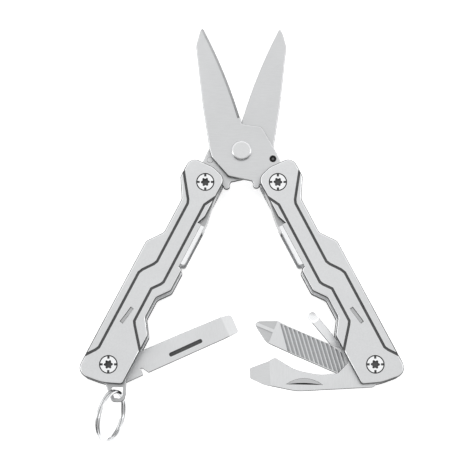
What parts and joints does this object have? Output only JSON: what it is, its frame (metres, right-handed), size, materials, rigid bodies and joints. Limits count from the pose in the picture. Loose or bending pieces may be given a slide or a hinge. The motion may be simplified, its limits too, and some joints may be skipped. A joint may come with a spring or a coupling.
{
  "type": "multi tool",
  "caption": "Pocket multi tool: spring scissors between two folding handles that hold a package opener, a bottle opener, a rib file, an ear pick and a key ring.",
  "frame": {"origin": "below the middle of the tool's box, on the surface that it lies on", "axes": "+X from the left handle to the right handle, +Y from the key ring to the blade tips, +Z out of the back plates to the front"},
  "size_m": [0.0836, 0.111, 0.0135],
  "materials": {
    "plate_steel": "satin bead-blasted stainless steel",
    "blade_steel": "satin ground stainless steel",
    "tool_steel": "satin ground stainless steel",
    "polished_steel": "polished stainless steel",
    "spring_steel": "rolled spring steel",
    "lug_steel": "darker satin stainless steel"
  },
  "bodies": {
    "back_half": {"back_blade": "blade_steel", "scissor_rivet": "polished_steel", "scissor_spring": "spring_steel", "back_stop_pin": "spring_steel"},
    "front_half": {"front_blade": "blade_steel", "front_stop_pin": "spring_steel"},
    "left_handle": {"left_front_plate": "plate_steel", "left_back_plate": "plate_steel", "left_head_spring": "spring_steel", "left_tool_spring": "spring_steel", "left_head_screw": "polished_steel", "left_head_nut": "polished_steel", "left_head_upper_spacer": "spring_steel", "left_head_lower_spacer": "spring_steel", "left_tool_screw": "polished_steel", "left_tool_nut": "polished_steel", "left_tool_upper_spacer": "spring_steel", "left_tool_lower_spacer": "spring_steel"},
    "right_handle": {"right_front_plate": "plate_steel", "right_back_plate": "plate_steel", "right_head_spring": "spring_steel", "right_tool_spring": "spring_steel", "right_head_screw": "polished_steel", "right_head_nut": "polished_steel", "right_head_upper_spacer": "spring_steel", "right_head_lower_spacer": "spring_steel", "right_tool_screw": "polished_steel", "right_tool_nut": "polished_steel", "right_tool_spacer": "spring_steel"},
    "package_opener": {"package_opener": "tool_steel"},
    "ring_lug": {"ring_lug": "lug_steel"},
    "key_ring": {"key_ring": "polished_steel"},
    "bottle_opener": {"bottle_opener": "tool_steel"},
    "rib_file": {"rib_file": "tool_steel"},
    "ear_pick": {"ear_pick": "tool_steel"}
  },
  "joints": [
    {"name": "scissor_pivot", "type": "hinge", "parent": "back_half", "child": "front_half", "pos_m": [0, 0.02146, 0.00405], "axis": [0, 0, -1], "range_deg": [0, 33.2], "deforming": ["scissor_spring"]},
    {"name": "right_handle_fold", "type": "hinge", "parent": "front_half", "child": "right_handle", "pos_m": [0.00955, 0.01236, 0.0043], "axis": [0, 0, 1], "range_deg": [0, 168.6]},
    {"name": "left_handle_fold", "type": "hinge", "parent": "back_half", "child": "left_handle", "pos_m": [-0.00955, 0.01236, 0.0043], "axis": [0, 0, -1], "range_deg": [0, 168.6]},
    {"name": "package_opener_fold", "type": "hinge", "parent": "left_handle", "child": "package_opener", "pos_m": [-0.0344, -0.03558, 0.0033], "axis": [0, 0, 1], "range_deg": [0, 38.1]},
    {"name": "lug_swing", "type": "hinge", "parent": "left_handle", "child": "ring_lug", "pos_m": [-0.0344, -0.03558, 0.00635], "axis": [0, 0, -1], "range_deg": [0, 44]},
    {"name": "key_ring_swing", "type": "hinge", "parent": "ring_lug", "child": "key_ring", "pos_m": [-0.03195, -0.04258, 0.00635], "axis": [-0.9619, 0.2735, 0], "range_deg": [0, 20]},
    {"name": "bottle_opener_fold", "type": "hinge", "parent": "right_handle", "child": "bottle_opener", "pos_m": [0.0344, -0.03558, 0.00635], "axis": [0, 0, -1], "range_deg": [0, 65.6]},
    {"name": "rib_file_fold", "type": "hinge", "parent": "right_handle", "child": "rib_file", "pos_m": [0.0344, -0.03558, 0.0048], "axis": [0, 0, -1], "range_deg": [0, 38.1]},
    {"name": "ear_pick_fold", "type": "hinge", "parent": "right_handle", "child": "ear_pick", "pos_m": [0.0344, -0.03558, 0.002], "axis": [0, 0, -1], "range_deg": [0, 17.6]}
  ]
}
